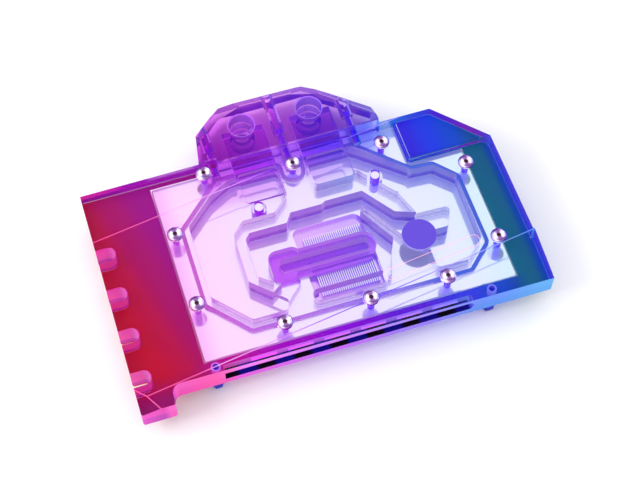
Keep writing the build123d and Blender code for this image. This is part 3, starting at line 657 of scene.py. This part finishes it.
def wedgeHighlightMetal(name, settings, turn):
    material, tree = startMaterial(name)
    place, along, normal = bearings(tree)
    angle = addNode(tree, "ShaderNodeMath", {0: normal["Y"], 1: normal["X"]}, operation="ARCTAN2").outputs["Value"]
    spokes = addNode(tree, "ShaderNodeMath", {0: angle, 1: settings["pairs"]}, operation="MULTIPLY").outputs["Value"]
    shifted = addNode(tree, "ShaderNodeMath", {0: spokes, 1: turn}, operation="ADD").outputs["Value"]
    wave = addNode(tree, "ShaderNodeMath", {0: shifted}, operation="SINE").outputs["Value"]
    colour = colouredBy(tree, zone(tree, (wave, (-1.0, 1.0))), settings["colours"])
    finishMaterial(tree, addNode(tree, "ShaderNodeBsdfPrincipled", {
        "Base Color": colour, "Metallic": 1.0, "Roughness": settings["roughness"],
        "Emission Color": colour, "Emission Strength": settings["lit"]}))
    return material


wedges = fasteners["wedges"]
washerSteel = wedgeHighlightMetal("plating_painted_wedge_highlights", wedges, wedges["washerTurn"])
headSteel = wedgeHighlightMetal("stainless_painted_wedge_highlights", wedges, wedges["headTurn"])
shaftSteel = litAlong("stainless_shaft", fasteners["shaftSteel"])
socketShade = grained("socket_painted_shade", fasteners["socketShade"])
meshPiece("bright_washers", *turned(fasteners["washer"], walls["screws"]), washerSteel, "washer_chrome",
          "cup_washers")
meshPiece("screw_heads", *turned(fasteners["head"], walls["screws"]), headSteel, "screw_steel", "cover_screws")
meshPiece("screw_shafts", *turned(fasteners["shaft"], walls["screws"]), shaftSteel, "screw_steel")
meshPiece("screw_sockets", *turned(fasteners["socket"], walls["screws"], fasteners["socketSides"]), socketShade,
          "screw_steel")

# Lit windows of the strip: phosphor under a clear skin
lights = {"first": -46.9, "pitch": 17.9, "count": 6, "size": (12.2, 1.3, 4.0), "back": -62.95, "low": 14.7,
          "colours": [(0.2, "#e23cf4"), (0.5, "#c060fa"), (0.8, "#8078fa")], "roughness": 0.4, "lit": 0.75}
lightBox = ((0, 2, 3, 1), (4, 5, 7, 6), (0, 1, 5, 4), (2, 6, 7, 3), (0, 4, 6, 2), (1, 3, 7, 5))
print("strip lights")
lightVertices, lightFaces = [], []
for i in range(lights["count"]):
    left, (length, depth, height) = lights["first"] + i * lights["pitch"], lights["size"]
    base = len(lightVertices)
    lightVertices += [(left + a * length, lights["back"] - (1 - b) * depth, lights["low"] + c * height)
                      for c in (0, 1) for b in (0, 1) for a in (0, 1)]
    lightFaces += [tuple(base + k for k in quad) for quad in lightBox]
meshPiece("strip_lights", lightVertices, lightFaces, litAlong("lit_phosphor", lights), "led_white", "led_chips")

# Badge: a plain disc printed violet, satin, with a painted highlight on its rim
badge = {"face": "#5a40c8", "rim": "#a49cf2", "roughness": 0.45, "gloss": 0.3, "lit": 0.06, "grain": 0.667}
badgeMaterial, tree = startMaterial("printed_badge")
place, along, normal = bearings(tree)
badgeColour = painted(tree, linear(badge["rim"]),
                      (linear(badge["face"]), zone(tree, (normal["Z"], facing["levelUp"]))))
finishMaterial(tree, addNode(tree, "ShaderNodeBsdfPrincipled", {
    "Base Color": badgeColour, "Roughness": badge["roughness"], "Specular IOR Level": badge["gloss"],
    "Emission Color": badgeColour, "Emission Strength": badge["lit"], "Normal": grainRelief(tree, badge["grain"])}))
setMaterial(nodes["badge_disc"], badgeMaterial)

# Turned chamfers at the upper ports, with a painted highlight and glow on them
chamfers = {"profile": ((6.62, 24.55), (6.72, 24.5), (7.06, 24.93), (6.98, 24.99)),
            "colours": [(0.3, "#dc98f0"), (0.6, "#b89cf8")], "roughness": 0.15, "lit": 0.4}
meshPiece("port_chamfers", *turned(chamfers["profile"], threads["centres"]), litAlong("chamfer_painted_highlight", chamfers),
          "dark_acrylic")

# Facet creases: the polished ridge where two faces of the cover meet, drawn as a thin strip with a painted highlight
# and glow
creases = {"width": 0.55, "height": 0.06, "angles": (1.0, 24.0), "shortest": 4.0, "flattest": 0.8,
           "colours": [(0.0, "#ff4aa8"), (0.15, "#ff58b8"), (0.2, "#f4b0f0"), (0.36, "#d890f0"), (0.48, "#7a38e0"),
                       (0.62, "#5a3ae4"), (0.76, "#a890f8"), (1.0, "#60a0f8")],
           "roughness": 0.1, "clear": 0.5, "lit": 0.3}


def creaseRidges(nodeName, name, settings, material):
    mesh = wholeFaces(nodeName)
    least, most = settings["angles"]
    lift = Vector((0, 0, settings["height"]))
    vertices, faces = [], []
    for edge in mesh.edges:
        if len(edge.link_faces) != 2 or edge.calc_length() < settings["shortest"] * mm:
            continue
        first, second = (face.normal for face in edge.link_faces)
        if min(first.z, second.z) < settings["flattest"] or not least < math.degrees(first.angle(second)) < most:
            continue
        start, end = (vertex.co / mm for vertex in edge.verts)
        across = (end - start).cross(Vector((0, 0, 1))).normalized() * settings["width"] / 2
        base = len(vertices)
        for point in (start, end):
            vertices += [tuple(point - across - lift), tuple(point + across - lift), tuple(point + lift)]
        faces += [(base, base + 2, base + 5, base + 3), (base + 2, base + 1, base + 4, base + 5)]
    mesh.free()
    meshPiece(name, vertices, faces, material, "clear_acrylic")


print("facet creases")
creaseRidges("cover", "cover_creases", creases, litAlong("ridge_painted_highlight", creases))

# Bare label place beside the badge: a thin printed line round a rounded strip
label = {"centre": (50.9, -39.9), "size": (49.7, 6.0), "radius": 2.2, "turn": 7.2, "width": 0.26, "level": 24.03,
         "colours": [(0.5, "#e8b4d0"), (0.9, "#f0a8b8")], "roughness": 0.5, "lit": 0.3}


def roundedLoop(width, height, radius, steps=6):
    points = []
    for quarter, (sx, sy) in enumerate(((1, 1), (-1, 1), (-1, -1), (1, -1))):
        for i in range(steps + 1):
            angle = math.pi / 2 * (quarter + i / steps)
            points.append((sx * (width / 2 - radius) + radius * math.cos(angle),
                           sy * (height / 2 - radius) + radius * math.sin(angle)))
    return points


print("label outline")
turn = math.radians(label["turn"])
labelVertices = []
for inset in (0.0, label["width"]):
    width, height = (v - 2 * inset for v in label["size"])
    for x, y in roundedLoop(width, height, label["radius"] - inset):
        labelVertices.append((label["centre"][0] + x * math.cos(turn) - y * math.sin(turn),
                              label["centre"][1] + x * math.sin(turn) + y * math.cos(turn), label["level"]))
count = len(labelVertices) // 2
labelFaces = [(i, (i + 1) % count, count + (i + 1) % count, count + i) for i in range(count)]
meshPiece("label_outline", labelVertices, labelFaces, litAlong("printed_line", label), "clear_acrylic")

# Floor of white paper, an even white dome with one softbox, and the camera at the photo's angle
paper = {"colour": "#fbfbfc", "roughness": 0.9, "grain": 0.667, "size": 6000.0, "level": -0.2}
print("stage")
floorMesh = bpy.data.meshes.new("floor")
half = paper["size"] / 2 * mm
floorMesh.from_pydata([(-half, -half, 0), (half, -half, 0), (half, half, 0), (-half, half, 0)], [], [(0, 1, 2, 3)])
floor = bpy.data.objects.new("floor", floorMesh)
floor.location.z = paper["level"] * mm
collection.objects.link(floor)
setMaterial(floor, grained("white_paper", paper))

studio = {"dome": "#ffffff", "domeStrength": 1.05, "softbox": (500.0, 350.0), "softboxPlace": (-700.0, 0.0, 600.0),
          "softboxWatts": 3.0}
world = bpy.data.worlds.new("studio")
scene = bpy.context.scene
scene.world = world
world.use_nodes = True
world.node_tree.nodes.clear()
dome = addNode(world.node_tree, "ShaderNodeBackground", {
    "Color": linear(studio["dome"]), "Strength": studio["domeStrength"]})
addNode(world.node_tree, "ShaderNodeOutputWorld", {"Surface": dome.outputs[0]})

softbox = bpy.data.lights.new("softbox", "AREA")
softbox.shape = "RECTANGLE"
softbox.size, softbox.size_y = (v * mm for v in studio["softbox"])
softbox.energy = studio["softboxWatts"]
softboxObject = bpy.data.objects.new("softbox", softbox)
softboxObject.location = [v * mm for v in studio["softboxPlace"]]
softboxObject.rotation_euler = (-softboxObject.location).to_track_quat("-Z", "Y").to_euler()
collection.objects.link(softboxObject)

shot = {"place": (-108.6, -334.9, 623.1), "turn": (29.506, 1.625, -16.747), "lens": 80.15625, "sensor": 36.0,
        "shift": 0.1}
cameraData = bpy.data.cameras.new("camera")
cameraData.sensor_width = shot["sensor"]
cameraData.lens = shot["lens"]
cameraData.shift_x = shot["shift"]
camera = bpy.data.objects.new("camera", cameraData)
camera.location = [v * mm for v in shot["place"]]
camera.rotation_euler = [math.radians(v) for v in shot["turn"]]
collection.objects.link(camera)
scene.camera = camera
scene.view_settings.view_transform = "Standard"
# light passes many faces of the acrylic
scene.cycles.max_bounces = 24
scene.cycles.transmission_bounces = 20
scene.cycles.glossy_bounces = 8
scene.cycles.diffuse_bounces = 4
scene.cycles.transparent_max_bounces = 12

print("finished")
